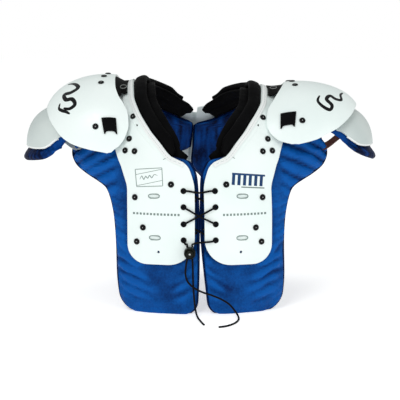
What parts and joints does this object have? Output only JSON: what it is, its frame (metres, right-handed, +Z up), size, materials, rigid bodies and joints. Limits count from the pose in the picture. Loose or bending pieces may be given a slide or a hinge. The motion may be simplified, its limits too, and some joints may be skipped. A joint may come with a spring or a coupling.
{
  "type": "football shoulder pad",
  "caption": "Football shoulder pad: hard arches and shoulder domes over padded nylon body pads, with a rolled collar and a laced chest.",
  "frame": {"origin": "on the floor under the middle of the part's footprint, the free ends of the lace not counted", "axes": "+Z up through the neck opening, the chest faces -Y, +X to the right of a viewer in front of the chest"},
  "size_m": [0.56, 0.3708, 0.3593],
  "materials": {
    "shell": "white, smooth, slightly glossy",
    "cap": "white, smooth",
    "nylon": "blue coated nylon, gathered",
    "collar": "black padded nylon",
    "binding": "white stitched band",
    "webbing": "black woven strap",
    "leather": "brown strap",
    "rivet": "black enamel",
    "lace": "black round cord",
    "lock": "near black",
    "button": "dull silver"
  },
  "bodies": {
    "pads": {"left_body_arch": "shell", "left_neck_binding": "binding", "left_neck_roll": "collar", "left_neck_lining": "collar", "left_front_pad": "nylon", "left_back_pad": "nylon", "left_epaulet": "shell", "left_keeper": "webbing", "left_shoulder_strap": "webbing", "left_deltoid_cap": "cap", "left_deltoid_pad": "nylon", "left_arm_strap": "leather", "left_rivet_1": "rivet", "left_rivet_2": "rivet", "left_rivet_3": "rivet", "left_rivet_4": "rivet", "left_rivet_5": "rivet", "left_rivet_6": "rivet", "left_rivet_7": "rivet", "left_rivet_8": "rivet", "left_rivet_9": "rivet", "left_rivet_10": "rivet", "left_epaulet_rivet_1": "rivet", "left_epaulet_rivet_2": "rivet", "left_epaulet_rivet_3": "rivet", "left_keeper_rivet": "rivet", "right_body_arch": "shell", "right_neck_binding": "binding", "right_neck_roll": "collar", "right_neck_lining": "collar", "right_front_pad": "nylon", "right_back_pad": "nylon", "right_epaulet": "shell", "right_keeper": "webbing", "right_shoulder_strap": "webbing", "right_deltoid_cap": "cap", "right_deltoid_pad": "nylon", "right_arm_strap": "leather", "right_rivet_1": "rivet", "right_rivet_2": "rivet", "right_rivet_3": "rivet", "right_rivet_4": "rivet", "right_rivet_5": "rivet", "right_rivet_6": "rivet", "right_rivet_7": "rivet", "right_rivet_8": "rivet", "right_rivet_9": "rivet", "right_rivet_10": "rivet", "right_epaulet_rivet_1": "rivet", "right_epaulet_rivet_2": "rivet", "right_epaulet_rivet_3": "rivet", "right_keeper_rivet": "rivet", "back_bridge": "shell", "lace": "lace", "cord_lock_barrel": "lock", "lace_tail_a": "lace", "lace_tail_b": "lace"},
    "button": {"cord_lock_button": "button"}
  },
  "joints": [
    {"name": "lock_press", "type": "slide", "parent": "pads", "child": "button", "axis": [0, 1, 0], "range_m": [0, 0.003], "stiffness_N_per_m": 600}
  ]
}
